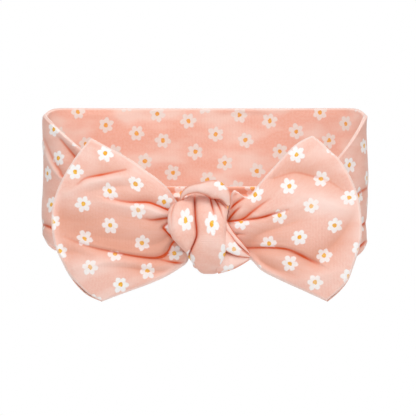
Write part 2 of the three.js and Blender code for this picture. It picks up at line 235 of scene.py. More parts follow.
def jerseyMaterial(name, look):
    # Fine jersey: upright ribs of stitches that read as fine lines, with painted shade between the ribs, a
    # heathered fuzz, uneven dye and, on the lining, painted sheen patches. Over this lies painted light:
    # painted shade down the folds' slopes and in their creases, painted highlights over ridges and seam
    # edges, and a painted orange glow in the creases, behind the bow and on the lining.
    knit = {"ribPitch": 0.78, "stitchPitch": 0.62, "ribBump": 0.06, "fuzzBump": 0.16}
    ground = look["ground"]
    material = bpy.data.materials.new(name)
    material.use_nodes = True
    tree = material.node_tree
    shader = tree.nodes["Principled BSDF"]
    mapped = addNode(tree, "ShaderNodeUVMap", uv_map="printMap").outputs[0]
    knitted = addNode(tree, "ShaderNodeUVMap", uv_map="knitMap").outputs[0]
    wobble = addNode(tree, "ShaderNodeTexNoise")
    wobble.inputs["Scale"].default_value = 0.9
    wobble.inputs["Detail"].default_value = 1.5
    tree.links.new(mapped, wobble.inputs["Vector"])
    shifted = vectorCalc(tree, "SUBTRACT", wobble.outputs["Color"], (0.5, 0.5, 0.5))
    uneven = vectorCalc(tree, "MULTIPLY_ADD", shifted, (0.9, 0.9, 0), mapped)

    split = addNode(tree, "ShaderNodeSeparateXYZ")
    tree.links.new(knitted, split.inputs[0])
    along = calc(tree, "MULTIPLY", split.outputs[0], math.pi / knit["ribPitch"])
    rib = calc(tree, "ABSOLUTE", calc(tree, "SINE", along))
    lean = calc(tree, "MULTIPLY", calc(tree, "COSINE", calc(tree, "MULTIPLY", along, 2)), 0.8)
    stitchTurn = 2 * math.pi / knit["stitchPitch"]
    stitch = calc(tree, "SINE", calc(tree, "MULTIPLY_ADD", split.outputs[1], stitchTurn, lean))
    knitHeight = calc(tree, "MULTIPLY_ADD", stitch, 0.22, rib)
    fuzz = addNode(tree, "ShaderNodeTexNoise")
    fuzz.inputs["Scale"].default_value = 0.85
    fuzz.inputs["Detail"].default_value = 6
    fuzz.inputs["Roughness"].default_value = 0.7
    tree.links.new(knitted, fuzz.inputs["Vector"])
    dyeAndSheen = addNode(tree, "ShaderNodeTexNoise")
    dyeAndSheen.inputs["Scale"].default_value = look["patchScale"]
    dyeAndSheen.inputs["Detail"].default_value = 2.5
    tree.links.new(vectorCalc(tree, "MULTIPLY", knitted, (0.5, 1.15, 1)), dyeAndSheen.inputs["Vector"])

    # a deeper tone of the ground: between the ribs it is painted shade in the knit's grooves, and in the
    # heather it is the yarn's own uneven tone
    deeper = tuple(c * k for c, k in zip(ground, (0.965, 0.83, 0.79))) + (1,)
    ribShadedYarn = mixColour(tree, calc(tree, "MULTIPLY_ADD", rib, -0.25, 0.25), ground + (1,), deeper)
    heather = mixColour(tree, fade(tree, fuzz.outputs[0], 0.32, 0.72), deeper, ribShadedYarn)
    # large soft pale patches: uneven dye outside, and on the lining painted sheen patches from its gentle
    # undulation
    cloudy = mixColour(tree, calc(tree, "MULTIPLY", fade(tree, dyeAndSheen.outputs[0], 0.42, 0.68), look["patches"]),
                       heather, look["pale"] + (1,))
    white, gold = daisyPrint(tree, uneven)
    ink = mixColour(tree, fade(tree, fuzz.outputs[0], 0.3, 0.6), tuple(c * 0.95 for c in look["ink"]) + (1,),
                    look["ink"] + (1,))
    colour = mixColour(tree, calc(tree, "MULTIPLY", white, look["inkCover"]), cloudy, ink)
    golden = mixColour(tree, fade(tree, fuzz.outputs[0], 0.46, 0.62),
                       look["gold"] + (1,), look["goldLight"] + (1,))
    colour = mixColour(tree, gold, colour, golden)
    # painted shade: the cloth turns a darker, deeper coral down fold slopes, behind the bow and in hidden
    # parts; white ink takes less of it
    hollow = addNode(tree, "ShaderNodeAttribute", attribute_name="hollow").outputs["Fac"]
    taken = calc(tree, "MULTIPLY_ADD", white, -0.5, 0.8)
    colour = mixColour(tree, calc(tree, "MULTIPLY", hollow, taken), colour, look["hollow"] + (1,))
    # painted shade: a dark red line along each crease
    depth = addNode(tree, "ShaderNodeAttribute", attribute_name="creaseShade").outputs["Fac"]
    colour = mixColour(tree, depth, colour, look["creaseShade"] + (1,))
    # painted highlight: paler cloth over ridges and along the seam edges
    paintedHighlight = addNode(tree, "ShaderNodeAttribute", attribute_name="paintedHighlight").outputs["Fac"]
    colour = mixColour(tree, calc(tree, "MULTIPLY", paintedHighlight, 0.6), colour, (0.97, 0.78, 0.72, 1))
    tree.links.new(colour, shader.inputs["Base Color"])
    # painted glow: an orange emission in the creases, on the band behind the bow and, on the lining, all
    # over
    tree.links.new(mixColour(tree, depth, (1.0, 0.40, 0.24, 1), (1.0, 0.20, 0.08, 1)),
                   shader.inputs["Emission Color"])
    backlit = addNode(tree, "ShaderNodeAttribute", attribute_name="backlit").outputs["Fac"]
    through = calc(tree, "MULTIPLY_ADD", depth, look["throughCrease"],
                   calc(tree, "MULTIPLY_ADD", backlit, 0.2, look["through"]))
    tree.links.new(through, shader.inputs["Emission Strength"])

    height = calc(tree, "MULTIPLY_ADD", fuzz.outputs[0], knit["fuzzBump"] / knit["ribBump"], knitHeight)
    bump = addNode(tree, "ShaderNodeBump")
    bump.inputs["Strength"].default_value = 0.6
    bump.inputs["Distance"].default_value = knit["ribBump"] * mm
    tree.links.new(height, bump.inputs["Height"])
    tree.links.new(bump.outputs[0], shader.inputs["Normal"])
    shader.inputs["Roughness"].default_value = 0.88
    shader.inputs["Specular IOR Level"].default_value = 0.2
    shader.inputs["Sheen Weight"].default_value = 0.3
    shader.inputs["Sheen Roughness"].default_value = 0.4
    shader.inputs["Sheen Tint"].default_value = (1.0, 0.93, 0.9, 1)
    return material


def threadMaterial():
    # two plies twisted together: slanted light and dark bands on the thread's own coordinates
    material = bpy.data.materials.new("twistedThread")
    material.use_nodes = True
    tree = material.node_tree
    shader = tree.nodes["Principled BSDF"]
    where = addNode(tree, "ShaderNodeTexCoord").outputs["Object"]
    twist = addNode(tree, "ShaderNodeTexWave", bands_direction="DIAGONAL")
    twist.inputs["Scale"].default_value = 900
    twist.inputs["Distortion"].default_value = 1.2
    tree.links.new(where, twist.inputs["Vector"])
    tree.links.new(mixColour(tree, twist.outputs["Fac"], (0.88, 0.62, 0.54, 1), (0.97, 0.82, 0.76, 1)),
                   shader.inputs["Base Color"])
    bump = addNode(tree, "ShaderNodeBump")
    bump.inputs["Strength"].default_value = 0.5
    bump.inputs["Distance"].default_value = 0.05 * mm
    tree.links.new(twist.outputs["Fac"], bump.inputs["Height"])
    tree.links.new(bump.outputs[0], shader.inputs["Normal"])
    shader.inputs["Roughness"].default_value = 0.6
    shader.inputs["Sheen Weight"].default_value = 0.15
    return material


# ---- shared shapes ----

def smoothLine(points, count):
    # A Catmull-Rom curve through the points, as `count` places evenly spaced along its length.
    given = np.asarray(points, float)
    ends = np.vstack([2 * given[0] - given[1], given, 2 * given[-1] - given[-2]])
    t = np.linspace(0, 1, 16, endpoint=False)[:, None]
    spans = []
    for a, b, c, d in zip(ends[:-3], ends[1:-2], ends[2:-1], ends[3:]):
        spans.append(0.5 * (2 * b + (c - a) * t + (2 * a - 5 * b + 4 * c - d) * t**2
                            + (3 * b - a - 3 * c + d) * t**3))
    dense = np.vstack(spans + [given[-1:]])
    length = np.r_[0, np.cumsum(np.linalg.norm(np.diff(dense, axis=0), axis=1))]
    even = np.linspace(0, length[-1], count)
    return np.stack([np.interp(even, length, dense[:, k]) for k in range(given.shape[1])], axis=1)


def eased(value, start, end):
    # 0 before start, 1 after end, with an S-shaped rise between them
    t = np.clip((value - start) / (end - start), 0, 1)
    return t * t * (3 - 2 * t)


def quarterRound(distance, radius):
    # height of a quarter circle of this radius: 0 at distance 0 and 1 from one radius on
    return np.sqrt(np.clip(1 - (1 - np.clip(distance / radius, 0, 1)) ** 2, 0, 1))


def besideLine(x, z, line):
    # For each (x, z): its distance from the line, positive above it, and how far along the line, 0 to
    # 1, the nearest place is.
    nearest = np.full(x.shape, 1e9)
    signed = np.zeros(x.shape)
    along = np.zeros(x.shape)
    pieces = len(line) - 1
    up = 1 if line[-1, 0] >= line[0, 0] else -1
    for i in range(pieces):
        start, step = line[i], line[i + 1] - line[i]
        t = np.clip(((x - start[0]) * step[0] + (z - start[1]) * step[1]) / (step @ step), 0, 1)
        offX, offZ = x - start[0] - t * step[0], z - start[1] - t * step[1]
        away = np.hypot(offX, offZ)
        closer = away < nearest
        side = np.where((step[0] * offZ - step[1] * offX) * up >= 0, away, -away)
        signed = np.where(closer, side, signed)
        along = np.where(closer, (i + t) / pieces, along)
        nearest = np.minimum(nearest, away)
    return signed, along


def foldRelief(x, z, folds):
    # Sum of the folds' depths at (x, z), with three masks of 0 to 1 for painted light: painted shade in each
    # crease line, painted shade down a fold's slope, and a painted highlight over a ridge. A fold is
    # (points, depth, width above, width below, strength at its start, middle and end). On each side of its
    # line the cloth comes back up as a bell of that width; a negative depth makes a ridge.
    relief = np.zeros(x.shape)
    creaseShade, hollow, paintedHighlight = np.zeros(x.shape), np.zeros(x.shape), np.zeros(x.shape)
    for points, depth, above, below, strength in folds:
        signed, along = besideLine(x, z, smoothLine(points, 7 * len(points)))
        width = np.where(signed >= 0, above, below)
        force = np.interp(along, (0, 0.5, 1), strength)
        bell = np.exp(-np.abs(signed / width) ** 1.4)
        relief += depth * force * bell
        # painted shade in the crease line and down the fold's slopes
        if depth > 0:
            sharp = np.clip(depth / min(above, below) - 0.6, 0, 1) * min(1, depth / 1.5)
            line = np.exp(-(signed / np.where(width > min(above, below) + 0.01, 0.62, 0.36)) ** 2)
            creaseShade = np.maximum(creaseShade, np.clip(1.5 * line, 0, 1) * force * sharp)
            spread = np.exp(-np.abs(signed / (1.25 * width)) ** 1.2)
            slope = np.clip(force * min(1, depth / 1.4), 0, 1) * spread
            hollow = 1 - (1 - hollow) * (1 - 0.95 * slope)
        # a ridge gets a painted highlight
        else:
            paintedHighlight = np.maximum(paintedHighlight, -depth * np.clip(force, 0, 1) * bell)
    return relief, np.clip(creaseShade, 0, 1), np.clip(hollow, 0, 1), np.clip(paintedHighlight * (1 - hollow), 0, 1)


def daisyGrid(where, seed, at, turn=0.0, spread=1.0):
    # Daisies over a piece of cloth, one near each crossing of the print's slanted grid. The grid is laid
    # with a crossing at `at`, turned by `turn` degrees and drawn apart by `spread`, as the piece was cut.
    ways = np.radians(turn + np.array([cloth["rowWay"], cloth["nextWay"]]))
    lengths = spread * np.array([cloth["rowStep"], cloth["nextStep"]])
    steps = lengths[:, None] * np.stack([np.cos(ways), np.sin(ways)], -1)
    count = np.arange(-60, 61)
    crossings = np.stack(np.meshgrid(count, count), -1).reshape(-1, 2) @ steps + at
    crossings += np.random.default_rng(seed).uniform(-1, 1, crossings.shape) * cloth["drift"]
    places = where.reshape(-1, 2)
    near = (crossings > places.min(axis=0) - 9) & (crossings < places.max(axis=0) + 9)
    return crossings[np.all(near, axis=1)]


def printCorners(where, faces, daisies, stretch=(1, 1)):
    # The print map of each corner of each face: its place measured from the daisy nearest the face, plus
    # that daisy's own number times the apart distance.
    sizes = np.array([len(face) for face in faces])
    corners = np.concatenate([np.asarray(face, int) for face in faces])
    starts = np.r_[0, np.cumsum(sizes)[:-1]]
    middles = np.add.reduceat(where[corners], starts) / sizes[:, None]
    nearest = np.zeros(len(faces), int)
    best = np.full(len(faces), 1e9)
    for k, daisy in enumerate(daisies):
        away = np.hypot(*((middles - daisy) / stretch).T)
        nearest = np.where(away < best, k, nearest)
        best = np.minimum(best, away)
    own = np.repeat(nearest, sizes)
    offset = np.clip((where[corners] - np.asarray(daisies)[own]) / stretch, -40, 40)
    return offset + cloth["apart"] * np.stack([own % 16 + 1, own // 16 + 1], -1)


def meshFrom(name, points, faces, material, cover, shades):
    # `cover` holds the knit map, a place per point, and the daisies with the places they are set among.
    mesh = bpy.data.meshes.new(name)
    mesh.from_pydata((points * mm).tolist(), [], faces)
    corners = np.concatenate([np.asarray(face, int) for face in faces])
    printed = printCorners(cover["where"], faces, cover["daisies"], cover.get("stretch", (1, 1)))
    for layerName, mapped in (("printMap", printed), ("knitMap", cover["knit"][corners])):
        layer = mesh.uv_layers.new(name=layerName)
        layer.data.foreach_set("uv", mapped.astype(np.float32).ravel())
    for shadeName in ("creaseShade", "hollow", "paintedHighlight", "backlit"):
        values = np.asarray(shades.get(shadeName, np.zeros(len(points))), np.float32).ravel()
        mesh.attributes.new(shadeName, "FLOAT", "POINT").data.foreach_set("value", values)
    mesh.polygons.foreach_set("use_smooth", np.ones(len(mesh.polygons), bool))
    mesh.materials.append(material)
    piece = bpy.data.objects.new(name, mesh)
    bpy.context.scene.collection.objects.link(piece)
    return piece


def gridFaces(rows, columns, around=False):
    # four-sided faces of a grid of points held row after row, closed round each row if asked
    r = np.arange(rows - 1)[:, None]
    c = np.arange(columns if around else columns - 1)[None, :]
    nextC = (c + 1) % columns
    quads = [r * columns + c, r * columns + nextC, (r + 1) * columns + nextC, (r + 1) * columns + c]
    return np.stack(quads, -1).reshape(-1, 4)


def looksAway(points, faces, inside):
    # above 0 if the faces, taken together, look away from the place or places `inside`
    corner = points[faces]
    normal = np.cross(corner[:, 2] - corner[:, 0], corner[:, 3] - corner[:, 1])
    return np.einsum("ij,ij->", normal, corner.mean(axis=1) - inside)


def sheetPiece(name, grid, inside, material, cover, shades, flip=False):
    # An open sheet of cloth from a grid of points, with its thickness on the side towards `inside`.
    points = grid.reshape(-1, 3)
    faces = gridFaces(*grid.shape[:2])
    if (looksAway(points, faces, np.asarray(inside, float)) > 0) == flip:
        faces = faces[:, ::-1]
    cover = {key: value.reshape(-1, 2) if key in ("knit", "where") else value
             for key, value in cover.items()}
    piece = meshFrom(name, points, faces.tolist(), material, cover, shades)
    solid = piece.modifiers.new("jerseyThickness", "SOLIDIFY")
    solid.thickness = cloth["panel"] * mm
    solid.offset = -1
    return piece


def withEnds(values, rows, columns):
    # a strand's values as one list, then the mean of its first row and of its last
    first = values[0].reshape(columns, -1).mean(axis=0)
    last = values[-1].reshape(columns, -1).mean(axis=0)
    return np.vstack([values.reshape(rows * columns, -1), first, last])


def strandPiece(name, grid, material, cover, shades):
    # A closed strand: rows run along it and columns go round it. Each end closes on its middle.
    rows, columns = grid.shape[:2]
    points = withEnds(grid, rows, columns)
    quads = gridFaces(rows, columns, around=True)
    flip = looksAway(points, quads, grid.mean(axis=1)[quads[:, 0] // columns]) < 0
    c = np.arange(columns)
    nextC = (c + 1) % columns
    lastRow = (rows - 1) * columns
    ends = np.vstack([np.stack([nextC, c, np.full(columns, rows * columns)], -1),
                      np.stack([lastRow + c, lastRow + nextC, np.full(columns, rows * columns + 1)], -1)])
    faces = [face[::-1] if flip else face for face in quads.tolist() + ends.tolist()]
    cover = {key: withEnds(value, rows, columns) if key in ("knit", "where") else value
             for key, value in cover.items()}
    shades = {key: withEnds(value, rows, columns) for key, value in shades.items()}
    return meshFrom(name, points, faces, material, cover, shades)


def threadAlong(name, line, thread):
    # A fine sewing thread laid along a line: it stands proud in each stitch and dips between them.
    sewing = {"radius": 0.24, "stitch": 2.2, "around": 8, "perStitch": 6}
    length = np.linalg.norm(np.diff(line, axis=0), axis=1).sum()
    rows = int(length / sewing["stitch"] * sewing["perStitch"])
    path = smoothLine(line, rows)
    tangent = np.gradient(path, axis=0)
    tangent /= np.linalg.norm(tangent, axis=1)[:, None]
    side = np.cross(tangent, (0.1, 0.9, 0.3))
    side /= np.linalg.norm(side, axis=1)[:, None]
    other = np.cross(tangent, side)
    turn = np.linspace(0, 2 * np.pi, sewing["around"], endpoint=False)[None, :]
    phase = np.arange(rows)[:, None] / sewing["perStitch"] * np.pi
    proud = sewing["radius"] * (0.62 + 0.38 * np.abs(np.sin(phase)))
    radius = proud * (1 + 0.12 * np.sin(2 * turn + 4 * phase))
    grid = (path[:, None] + side[:, None] * (radius * np.cos(turn))[..., None]
            + other[:, None] * (radius * np.sin(turn))[..., None])
    flat = np.stack([phase + 0 * turn, turn + 0 * phase], -1)
    cover = {"knit": flat, "where": flat + 40, "daisies": [(0, 0)]}
    return strandPiece(name, grid, thread, cover, {})


# ---- the band ----

band = {
    "backTop": 37.7, "backBottom": -37.7, "backCorner": 26,
    "frontTop": -3.7, "level": 22.0,
    "left": {"sideTop": 34.0, "sideBottom": -29.5, "rise": 1.7, "frontBottom": -36.5, "round": 15},
    "right": {"sideTop": 34.0, "sideBottom": -33.0, "rise": 3.3, "frontBottom": -41.5, "round": 20},
    "columns": 460, "rows": 96, "startX": 4.5,
    "sheetMetres": 0.076, "blendMetres": 0.0286,
    # where one daisy lies, seen from the front: on the lining behind the bow, and outside on the left
    "insideDaisy": (-10, 30),
    "outsideDaisy": (-82, 2),
    # creases of the front, as places in the front view
    "folds": [
        ([(-86, -23), (-82, -24.3), (-78, -25.8), (-70, -27), (-15, -24)], 2.6, 1.6, 1.0, (1, 1, 1)),
        ([(-84.3, 20), (-82.6, 15), (-80, 9), (-77, 4), (-73, 0), (-60, -4)], -1.3, 0.8, 0.8, (0.7, 1, 0.6)),
        ([(-83, 21), (-79, 11), (-75.5, 5), (-71, 0), (-40, -12)], 1.5, 2.4, 1.2, (0.4, 1, 1)),
        ([(-75, 21), (-72, 17), (-68, 12), (-62, 6), (-40, 0)], 3.0, 2.0, 3.4, (0.5, 1.2, 1)),
        ([(-86, -6), (-80, -8), (-60, -12)], 1.0, 3.5, 3.5, (0.4, 0.8, 1)),
        ([(87, -2.5), (82, -5.4), (77, -8.5), (66, -12), (15, -14)], 2.4, 1.3, 2.4, (0.7, 1.2, 1)),
        ([(87, -21), (83, -23), (79, -25), (66, -27), (15, -22)], 2.6, 1.1, 1.8, (1, 1, 1)),
        ([(87, -30), (83, -32.6), (79, -35.4), (66, -37), (15, -33)], 2.2, 0.8, 1.8, (1, 1, 1)),
        ([(84, 24), (79, 14), (72, 4), (40, -6), (15, -8)], 1.4, 3.0, 4.0, (0.4, 0.8, 1)),
    ],
}


def loopPlan(angle):
    # The loop's plan: a rounded oblong |x/a|^n + |y/b|^n = 1, by the angle round from the knot, with
    # the way out of it.
    a, b, n = cloth["loopHalfWidth"], cloth["loopHalfDepth"], cloth["squareness"]
    sine, cosine = np.sin(angle), np.cos(angle)
    x = a * np.sign(sine) * np.abs(sine) ** (2 / n)
    y = -b * np.sign(cosine) * np.abs(cosine) ** (2 / n)
    outX = np.sign(x) * np.abs(x / a) ** (n - 1) / a
    outY = np.sign(y) * np.abs(y / b) ** (n - 1) / b
    size = np.hypot(outX, outY)
    return x, y, outX / size, outY / size


def bandEdges(angle):
    # Heights of the band's edges: they climb from the knot to the sides and are straight behind.
    x, y, _, _ = loopPlan(angle)
    share = np.clip((np.abs(x) - band["level"]) / (cloth["loopHalfWidth"] - band["level"]), 0, 1)
    gathered = 1 - eased(np.abs(x), 2, 9)
    top, bottom = np.zeros(x.shape), np.zeros(x.shape)
    for shape, here in ((band["left"], x < 0), (band["right"], x >= 0)):
        rise = band["frontTop"] + (shape["sideTop"] - band["frontTop"]) * share ** shape["rise"]
        fall = shape["frontBottom"] + (shape["sideBottom"] - shape["frontBottom"]) * share ** shape["round"]
        late = share ** band["backCorner"]
        backTop = band["backTop"] + (shape["sideTop"] - band["backTop"]) * late
        backBottom = band["backBottom"] + (shape["sideBottom"] - band["backBottom"]) * late
        top = np.where(here, np.where(y < 0, rise - 4 * gathered, backTop), top)
        bottom = np.where(here, np.where(y < 0, fall + 2 * gathered, backBottom), bottom)
    return top, bottom


def evenAngles(count):
    # angles whose places round the loop are evenly spaced, from one side of the knot to the other
    start = math.asin((band["startX"] / cloth["loopHalfWidth"]) ** (cloth["squareness"] / 2))
    fine = np.linspace(start, 2 * math.pi - start, 6000)
    x, y, _, _ = loopPlan(fine)
    length = np.r_[0, np.cumsum(np.hypot(np.diff(x), np.diff(y)))]
    places = np.linspace(0, length[-1], count)
    return np.interp(places, length, fine), places


def bandPanel(isOuter):
    # The panel's middle line is the loop; across it, the cloth stands `loft` off and rolls in to the
    # seam at both edges as a quarter circle. Pleats sink it, most of all near the knot.
    angles, places = evenAngles(band["columns"])
    s = np.linspace(0, 1, band["rows"])
    across = 0.55 * s + 0.45 * (0.5 - 0.5 * np.cos(np.pi * s))
    x, y, outX, outY = (values[:, None] for values in loopPlan(angles))
    top, bottom = (values[:, None] for values in bandEdges(angles))
    places = places[:, None] + 0 * across
    z = bottom + (top - bottom) * across
    x = x + 0 * z
    edge = np.minimum(across, 1 - across) * (top - bottom)
    way = 1 if isOuter else -1
    offset = way * (cloth["loft"] + cloth["panel"]) * quarterRound(edge, cloth["seamRadius"])

    front = eased(-y, -7, 5)  # the folds fade out round the sides
    folds, creaseShade, hollow, paintedHighlight = foldRelief(x, z, band["folds"])
    offEdge = eased(edge, 0.5, 4)
    nearKnot = eased(-y, 10, 30)
    gathers = 1.1 * np.sin(across * 34.5 + 0.8) + 0.5 * np.sin(across * 56.5 + 2)
    pleats = front * offEdge * (folds * (0.45 + 0.55 * nearKnot) + gathers * nearKnot * eased(-y, 26, 35))
    slack = 0.5 * np.sin(places / 23 + 6.6 * across) + 0.3 * np.sin(places / 9.5 + 9 * across)
    ripples = 0.16 * np.sin(z / 2.6 + 1.5 * np.sin(places / 31)) * eased(np.sin(places / 17 + 1), 0, 1)
    offset = offset - pleats + offEdge * (slack * (0.9 - 0.4 * front) + ripples)
    grid = np.stack([x + outX * offset, y + outY * offset, z], -1)
    # painted light: crease and slope shade on the front's folds, painted shade and a painted glow on the
    # band behind the bow, painted shade on the front's sides where they turn from the light, and a painted
    # highlight along both edges and over ridges
    own = front * offEdge * (1 if isOuter else 0)
    behindBow = front * (1 if isOuter else 0.5) * (1 - eased(np.abs(x), 30, 62)) * 0.95
    sideShade = front * eased(np.abs(x), 70, 82) * (0.3 if isOuter else 0)
    shades = {
        "creaseShade": creaseShade * own,
        "hollow": np.maximum(np.maximum(hollow * own, behindBow), sideShade),
        "paintedHighlight": np.maximum((1 - eased(edge, 0.2, 1.2)) * (1 - behindBow), paintedHighlight * own),
        "backlit": behindBow,
    }
    return grid, places, z, shades


def makeBand(jersey, lining, thread):
    print("band: outer panel, lining and seam threads")
    angles, length = evenAngles(4000)
    frontX = loopPlan(angles)[0]
    made = []
    sections = ("right_neck", "right_side", "back", "left_side", "left_neck")
    for isOuter in (True, False):
        grid, places, z, shades = bandPanel(isOuter)
        knit = np.stack([places, z], -1)
        if isOuter:
            quarter = len(angles) // 4
            beside, height = band["outsideDaisy"]
            at = (np.interp(beside, frontX[-quarter:], length[-quarter:]), height)
            where = knit
        else:
            at = band["insideDaisy"]
            where = np.stack([length[-1] / 2 - places, z], -1)
        daisies = daisyGrid(where, 5, at)
        piece = sheetPiece("bandOuterPanel" if isOuter else "bandLiningPanel", grid, (0, 0, 0),
                           jersey if isOuter else lining, {"knit": knit, "where": where, "daisies": daisies},
                           shades, flip=not isOuter)
        ending = "_outer_panel" if isOuter else "_lining_panel"
        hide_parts(*[section + ending for section in sections])
        made.append(piece)
        if isOuter:
            for edge, row in (("top", -1), ("bottom", 0)):
                seam = threadAlong(edge + "SeamThread", grid[::3, row], thread)
                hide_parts(edge + "_seam_thread")
                made.append(seam)
    return made


# ---- the tails ----

tails = {
    "curl": 4.0, "frontBulge": 4.4, "backBulge": 2.0, "lengthRows": 190, "heightRows": 200,
    "amid": (45, -20),  # a place between the two panels, from the side and up
    "peekAt": (62, -56), "peekSpread": 150, "peek": 0.8,
    "sheetMetres": (0.072, 0.078), "knitHeight": 78,
    "blendBefore": 5, "blendAfter": 9,
}
# lines that are a tuck, which hides a little cloth, and a fold as well
leftTucks = {
    "upper": [(-16, -17), (-19, -16), (-25, -13.5), (-30, -12), (-40, -11.8), (-52, -9.5)],
    "lower": [(-13, -30), (-17, -33), (-19.5, -37.5), (-24, -40.2), (-30, -40.4), (-40, -39), (-50, -37),
              (-57, -35.5), (-65, -33)],
}
rightTucks = {
    "upper": [(10, -22), (19, -20.9), (24.3, -17), (29.5, -13), (34, -10)],
    "middle": [(20, -21.2), (28.9, -19.9), (35.3, -18), (43, -15.8)],
    "lower": [(20, -35.5), (32, -35.2), (41.8, -35.9), (48.9, -38.4), (53, -40.4), (59, -43.5)],
}
leftTail = {
    "name": "left", "side": -1, "bendX": -20.5, "reach": 58.0,
    "top": [(-11, -16), (-14, -12.5), (-17, -8), (-20, -4), (-25, 0.5), (-30, 4), (-36, 8.5), (-44, 13.4),
            (-50, 16.4), (-59, 21.3)],
    "outer": [(-59, 21.3), (-65, 14.3), (-70, 7), (-74, 0), (-77, -7), (-79, -14), (-79.4, -21), (-79, -28),
              (-77.5, -35), (-75, -40.5), (-71, -48), (-66, -54), (-60, -59.4), (-53.3, -63)],
    "bottom": [(-7, -37.5), (-9.5, -42.8), (-12, -45), (-20, -50), (-30, -54.4), (-40, -58), (-53.3, -63)],
    "daisy": (-48, -23), "printTurn": -11, "printSpread": 1.08,
    "tucks": [
        (leftTucks["upper"], 2.6, (1, 1, 0)),
        (leftTucks["lower"], 3.4, (1, 1, 0)),
    ],
    "folds": [
        ([(-66, -2.5), (-61.6, 0.6), (-52, 2.6), (-41, 5)], 1.7, 3.6, 1.0, (0.3, 1, 0.4)),
        ([(-72, -7.5), (-60, -2), (-46, 0.8), (-36, 1.6)], -0.9, 2.2, 2.6, (0.5, 1, 0.5)),
        ([(-60, -6.5), (-52, -4.8), (-43, -3.5), (-34, -4)], 1.0, 2.6, 2.6, (0.5, 1, 0.5)),
        (leftTucks["upper"], 2.8, 2.8, 0.8, (1, 1, 0.2)),
        ([(-20, -19), (-30, -15.2), (-40, -14), (-55, -11.5)], -1.1, 2.0, 3.0, (0.8, 1, 0.3)),
        ([(-15, -19.3), (-21, -20), (-27, -20.8), (-32, -20.2)], 2.4, 0.9, 2.4, (1, 1, 0.2)),
        ([(-17.5, -21.5), (-21.2, -24.6), (-20.4, -26.4), (-17.2, -29.8)], 2.0, 0.9, 1.1, (0.6, 1, 1)),
        ([(-15, -27), (-19, -29.5), (-24, -33), (-34, -35)], 1.2, 2.4, 2.4, (1, 0.9, 0.4)),
        (leftTucks["lower"] + [(-73, -29.5)], 3.2, 0.9, 2.3, (1.1, 0.8, 0.1)),
        ([(-20, -37), (-40, -36), (-57, -32.5), (-73, -27)], 1.6, 10, 5, (1, 1, 0.5)),
        ([(-19, -38.2), (-22, -40.4), (-27, -40.9), (-34, -40.2)], 2.2, 2.0, 1.6, (1.2, 1.1, 0.4)),
        ([(-7, -42), (-12, -43.4), (-17, -43), (-23, -41.6)], 2.2, 2.0, 1.2, (1.2, 1, 0.4)),
        ([(-68, -46), (-50, -43), (-38, -43)], -0.9, 4, 4, (0.6, 1, 0.6)),
        ([(-52, -45), (-38, -46), (-28, -47.4), (-17, -47.6)], 1.7, 2.6, 3.6, (0.3, 1, 0.7)),
        ([(-74, -20), (-62, -22), (-48, -19), (-33, -21)], 1.3, 6, 6, (1, 0.6, 0.3)),
        ([(-68, -27), (-52, -30), (-34, -32)], 1.3, 5, 5, (0.8, 0.8, 0.8)),
        ([(-77, -38), (-68, -37.5), (-60, -40)], 1.2, 3, 3, (0.9, 0.9, 0.3)),
    ],
}
rightTail = {
    "name": "right", "side": 1, "bendX": 24.8, "reach": 56.0,
    "top": [(11.6, -18.5), (12.9, -12), (14.4, -6.2), (16.6, -6.4), (20.3, -8.9), (23.4, -8.3), (26, -5),
            (30, 0), (35, 5.5), (40, 11), (45, 16.3), (50, 20), (55.5, 22.6)],
    "outer": [(55.5, 22.6), (60, 19.4), (65, 14.6), (70, 9.8), (75, 2), (78, -5), (80, -12), (81, -20),
              (81.2, -28), (80, -35), (76.5, -46), (74, -52), (70, -56.8), (63, -62.8)],
    "bottom": [(10.8, -33.3), (14, -36), (19, -38.3), (23.3, -40.8), (26, -43.5), (30, -47.4), (40, -52.5),
               (50, -57), (63, -62.8)],
    "daisy": (50, -29), "printTurn": 28, "printSpread": 1.08,
    "tucks": [
        (rightTucks["upper"], 2.0, (1, 1, 0)),
        (rightTucks["middle"], 1.6, (1, 1, 0)),
        (rightTucks["lower"], 2.2, (1, 1, 0)),
    ],
    "folds": [
        ([(11, -12.5), (14, -8.8), (17, -7)], 1.5, 1.0, 1.0, (1, 1, 0.5)),
        ([(11, -17.5), (15.5, -13), (20.5, -9.4)], 1.8, 1.3, 1.0, (1, 1, 0.6)),
        ([(12, -21.5), (15, -17.5), (19, -13.6)], 1.6, 1.2, 1.0, (1, 1, 0.1)),
        (rightTucks["upper"], 2.6, 2.8, 0.9, (1, 1, 0.1)),
        (rightTucks["middle"], 2.2, 1.1, 0.9, (0.8, 1, 0.2)),
        ([(24, -34), (27, -29), (38.6, -24.8), (50, -20.5)], 1.3, 3.0, 3.0, (1, 1, 0.4)),
        ([(10, -30), (16, -28.6), (20.5, -28.5)], 1.0, 0.8, 0.8, (1, 1, 0.2)),
        (rightTucks["lower"], 2.4, 0.9, 3.6, (0.7, 1, 0.3)),
        ([(22, -32.5), (38, -32.5), (50, -36)], 1.1, 4, 4, (1, 1, 0.5)),
        ([(43, -36.6), (49, -38.9), (53, -41), (58, -43.6)], 2.2, 1.0, 1.8, (0.2, 1.2, 0.3)),
        ([(36, 0.5), (46, 3.4), (54, 2), (64, -1), (72, -6)], 3.0, 5.0, 3.5, (0.6, 1, 0.4)),
        ([(48, -8), (60, -11), (74, -16)], -1.1, 5, 6, (0.4, 1, 0.6)),
        ([(56, -41), (64, -36), (70, -30), (76, -21)], 1.7, 4.5, 5, (1, 1, 0.6)),
        ([(26, -41), (36, -46), (46, -49.5)], 1.4, 3, 3, (1, 1, 0.4)),
        ([(48, -53), (60, -50), (72, -47)], -0.8, 4, 4, (0.4, 1, 0.4)),
        ([(40, -44), (52, -44), (60, -43)], 0.7, 4, 4, (0.6, 1, 0.3)),
        ([(36, -22), (46, -19), (52, -14), (53, -6)], 0.6, 3, 3, (0.8, 0.8, 0.3)),
    ],
}


